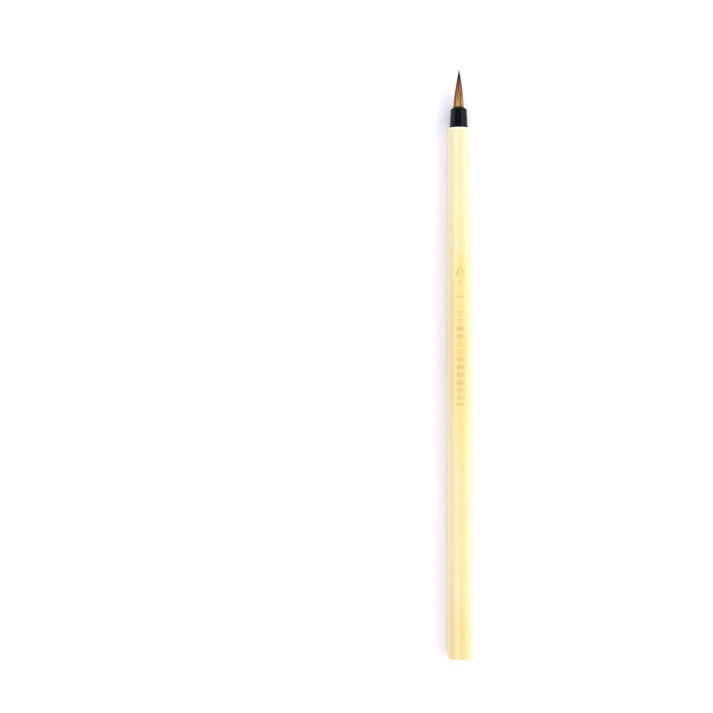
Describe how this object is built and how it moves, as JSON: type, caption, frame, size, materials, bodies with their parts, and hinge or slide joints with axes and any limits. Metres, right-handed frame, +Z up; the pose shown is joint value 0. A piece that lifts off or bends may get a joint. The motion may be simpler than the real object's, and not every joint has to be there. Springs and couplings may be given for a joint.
{
  "type": "fine detail brush",
  "caption": "Slim tapered bamboo cane with a short black plastic ferrule that holds a very small, finely pointed tuft of springy brown hair.",
  "frame": {"origin": "centre of the underside of the bounding box, on the table that the brush lies on", "axes": "+Y along the brush from its butt to its point, +Z up from the table, +X to the right when it is seen from above with the point away"},
  "size_m": [0.0098, 0.24, 0.0097],
  "materials": {
    "bamboo": "satin",
    "black_plastic": "gloss",
    "glue": "gloss",
    "resin": "gloss",
    "thread": "matte",
    "hair": "soft sheen",
    "hair_tip": "soft sheen"
  },
  "bodies": {
    "handle": {"cane_handle": "bamboo", "ferrule": "black_plastic", "ferrule_glue": "glue", "root_glue": "glue", "root_seal": "resin", "root_thread": "thread", "hair_root": "hair"},
    "belly": {"core_hairs": "hair", "coat_lock_01": "hair", "coat_lock_02": "hair", "coat_lock_03": "hair", "coat_lock_04": "hair", "coat_lock_05": "hair", "coat_lock_06": "hair", "coat_lock_07": "hair", "coat_lock_08": "hair", "coat_lock_09": "hair", "coat_lock_10": "hair", "coat_lock_11": "hair", "coat_lock_12": "hair"},
    "point": {"point_hairs": "hair_tip"}
  },
  "joints": [
    {"name": "belly_bend", "type": "hinge", "parent": "handle", "child": "belly", "pos_m": [0, 0.10395, 0.00487], "axis": [0, 0, 1], "range_deg": [-30, 30], "stiffness_Nm_per_rad": 0.002},
    {"name": "point_bend", "type": "hinge", "parent": "belly", "child": "point", "pos_m": [0, 0.1117, 0.00487], "axis": [0, 0, 1], "range_deg": [-40, 40], "stiffness_Nm_per_rad": 0.0002}
  ]
}
